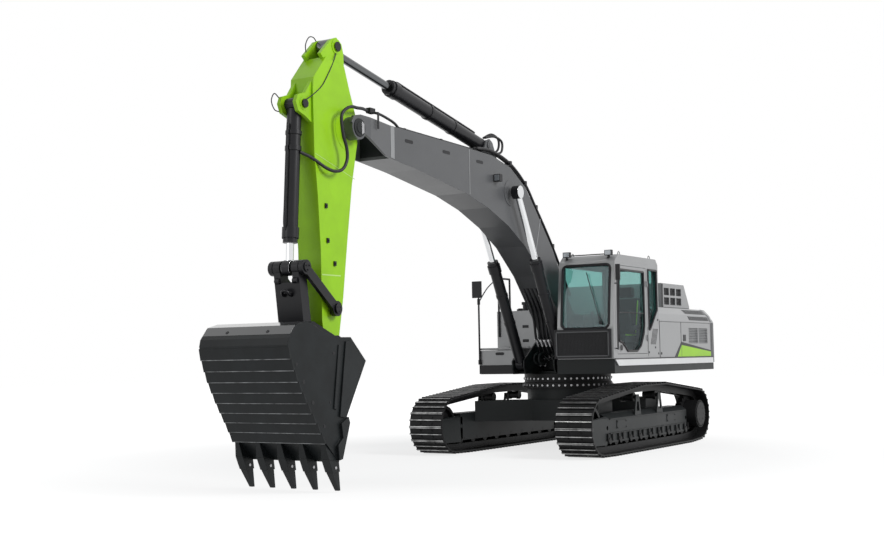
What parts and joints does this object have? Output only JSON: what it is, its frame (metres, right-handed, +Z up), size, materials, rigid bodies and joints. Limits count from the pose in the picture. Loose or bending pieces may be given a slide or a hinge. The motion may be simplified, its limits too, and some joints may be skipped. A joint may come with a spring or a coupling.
{
  "type": "crawler excavator",
  "caption": "Tracked digging machine: swinging body with cab and engine room, cranked boom, arm and toothed bucket, moved by cylinders; doors and covers open.",
  "frame": {"origin": "middle of the machine's length and width, on the ground", "axes": "+X forward towards the bucket, +Y to the machine's left (the cab's side), +Z up"},
  "size_m": [11.9898, 3.19, 5.632],
  "materials": {
    "lime_paint": "gloss",
    "charcoal_paint": "satin",
    "silver_paint": "gloss",
    "frame_paint": "satin",
    "bucket_paint": "satin",
    "black_paint": "satin",
    "track_steel": "worn",
    "rod_chrome": "polished",
    "clear_glass": "clear",
    "seat_fabric": "matte",
    "dark_plastic": "matte",
    "engine_iron": "matte"
  },
  "bodies": {
    "undercarriage": {"carbody": "frame_paint", "swing_ring": "track_steel", "track_frame_left": "frame_paint", "track_frame_right": "frame_paint", "track_left": "track_steel", "track_right": "track_steel", "bottom_rollers": "track_steel", "carrier_rollers": "track_steel", "idlers": "track_steel", "sprockets": "track_steel"},
    "upper": {"upper_frame": "frame_paint", "swing_race": "track_steel", "counterweight": "charcoal_paint", "engine": "engine_iron", "hood_shell": "silver_paint", "fuel_tank": "silver_paint", "hydraulic_tank": "silver_paint", "tool_box": "silver_paint", "side_steps": "silver_paint", "stack": "black_paint", "handrails": "black_paint", "mirror_right": "dark_plastic", "cab_frame": "silver_paint", "cab_roof": "silver_paint", "cab_glass": "clear_glass", "seat": "seat_fabric", "console": "dark_plastic", "front_guard": "black_paint", "roof_lights": "dark_plastic", "mirror_left": "dark_plastic"},
    "cab_door": {"cab_door": "silver_paint", "door_glass": "clear_glass"},
    "engine_hood": {"engine_hood": "silver_paint"},
    "left_front_door": {"left_front_door": "silver_paint"},
    "left_rear_door": {"left_rear_door": "silver_paint"},
    "right_rear_door": {"right_rear_door": "silver_paint"},
    "tool_box_lid": {"tool_box_lid": "dark_plastic"},
    "boom": {"boom": "charcoal_paint", "boom_pipes": "black_paint", "boom_light": "dark_plastic"},
    "boom_barrels": {"boom_cylinder_barrel_left": "black_paint", "boom_cylinder_barrel_right": "black_paint"},
    "boom_rods": {"boom_cylinder_rod_left": "rod_chrome", "boom_cylinder_rod_right": "rod_chrome"},
    "arm_barrel": {"arm_cylinder_barrel": "black_paint"},
    "arm_rod": {"arm_cylinder_rod": "rod_chrome"},
    "arm": {"arm": "lime_paint"},
    "bucket_barrel": {"bucket_cylinder_barrel": "black_paint"},
    "bucket_rod": {"bucket_cylinder_rod": "rod_chrome"},
    "arm_links": {"arm_links": "black_paint"},
    "bucket_link": {"bucket_link": "black_paint"},
    "bucket": {"bucket": "bucket_paint", "bucket_teeth": "bucket_paint"}
  },
  "joints": [
    {"name": "swing", "type": "hinge", "parent": "undercarriage", "child": "upper", "pos_m": [-2.51, 0, 1.11], "axis": [0, 0, 1], "continuous": true},
    {"name": "boom", "type": "hinge", "parent": "upper", "child": "boom", "pos_m": [-2.21, 0, 1.98], "axis": [0, -1, 0], "range_deg": [-63, 42]},
    {"name": "arm", "type": "hinge", "parent": "boom", "child": "arm", "pos_m": [4.07, 0, 4.487], "axis": [0, 1, 0], "range_deg": [-82, 26]},
    {"name": "bucket", "type": "hinge", "parent": "arm", "child": "bucket", "pos_m": [4.49, 0, 1.73], "axis": [0, 1, 0], "range_deg": [-18, 148]},
    {"name": "boom_barrels_pivot", "type": "hinge", "parent": "upper", "child": "boom_barrels", "pos_m": [-1.55, 0, 1.42], "axis": [0, -1, 0], "range_deg": [-63, 42]},
    {"name": "boom_rods_slide", "type": "slide", "parent": "boom_barrels", "child": "boom_rods", "axis": [0.4812, 0, 0.8766], "range_m": [-0.84, 0.56]},
    {"name": "arm_barrel_pivot", "type": "hinge", "parent": "boom", "child": "arm_barrel", "pos_m": [0.32, 0, 4.78], "axis": [0, 1, 0], "range_deg": [-1, 3]},
    {"name": "arm_rod_slide", "type": "slide", "parent": "arm_barrel", "child": "arm_rod", "axis": [0.9834, 0, 0.1813], "range_m": [-1.28, 0.41]},
    {"name": "bucket_barrel_pivot", "type": "hinge", "parent": "arm", "child": "bucket_barrel", "pos_m": [4.969, 0, 4.675], "axis": [0, 1, 0], "range_deg": [-1, 3.5]},
    {"name": "bucket_rod_slide", "type": "slide", "parent": "bucket_barrel", "child": "bucket_rod", "axis": [0.0649, 0, -0.9979], "range_m": [-0.155, 1.235]},
    {"name": "arm_links_pivot", "type": "hinge", "parent": "arm", "child": "arm_links", "pos_m": [4.478, 0, 2.176], "axis": [0, 1, 0], "range_deg": [-13, 102]},
    {"name": "bucket_link_pivot", "type": "hinge", "parent": "bucket", "child": "bucket_link", "pos_m": [4.99, 0, 1.9], "axis": [0, 1, 0], "range_deg": [-86.5, 11]},
    {"name": "cab_door", "type": "hinge", "parent": "upper", "child": "cab_door", "pos_m": [-2.46, 1.506, 2.3], "axis": [0, 0, 1], "range_deg": [0, 150]},
    {"name": "engine_hood", "type": "hinge", "parent": "upper", "child": "engine_hood", "pos_m": [-4.094, 0, 2.371], "axis": [0, 1, 0], "range_deg": [0, 60]},
    {"name": "left_front_door", "type": "hinge", "parent": "upper", "child": "left_front_door", "pos_m": [-3.984, 1.47, 1.8], "axis": [0, 0, 1], "range_deg": [0, 95]},
    {"name": "left_rear_door", "type": "hinge", "parent": "upper", "child": "left_rear_door", "pos_m": [-5.544, 1.47, 1.8], "axis": [0, 0, 1], "range_deg": [0, 90]},
    {"name": "right_rear_door", "type": "hinge", "parent": "upper", "child": "right_rear_door", "pos_m": [-5.544, -1.47, 1.8], "axis": [0, 0, -1], "range_deg": [0, 90]},
    {"name": "tool_box_lid", "type": "hinge", "parent": "upper", "child": "tool_box_lid", "pos_m": [-2.744, -1.1, 1.706], "axis": [0, -1, 0], "range_deg": [0, 70]}
  ],
  "couplings": [
    {"joint": "boom_barrels_pivot", "follows": "boom", "ratio": 0.99477},
    {"joint": "boom_rods_slide", "follows": "boom", "m_per_rad": 0.7575},
    {"joint": "arm_barrel_pivot", "follows": "arm", "ratio": -0.02704},
    {"joint": "arm_rod_slide", "follows": "arm", "m_per_rad": 0.89088},
    {"joint": "bucket_barrel_pivot", "follows": "bucket", "ratio": 0.0198},
    {"joint": "bucket_rod_slide", "follows": "bucket", "m_per_rad": 0.4758},
    {"joint": "arm_links_pivot", "follows": "bucket", "ratio": 0.6838},
    {"joint": "bucket_link_pivot", "follows": "bucket", "ratio": -0.5777}
  ]
}
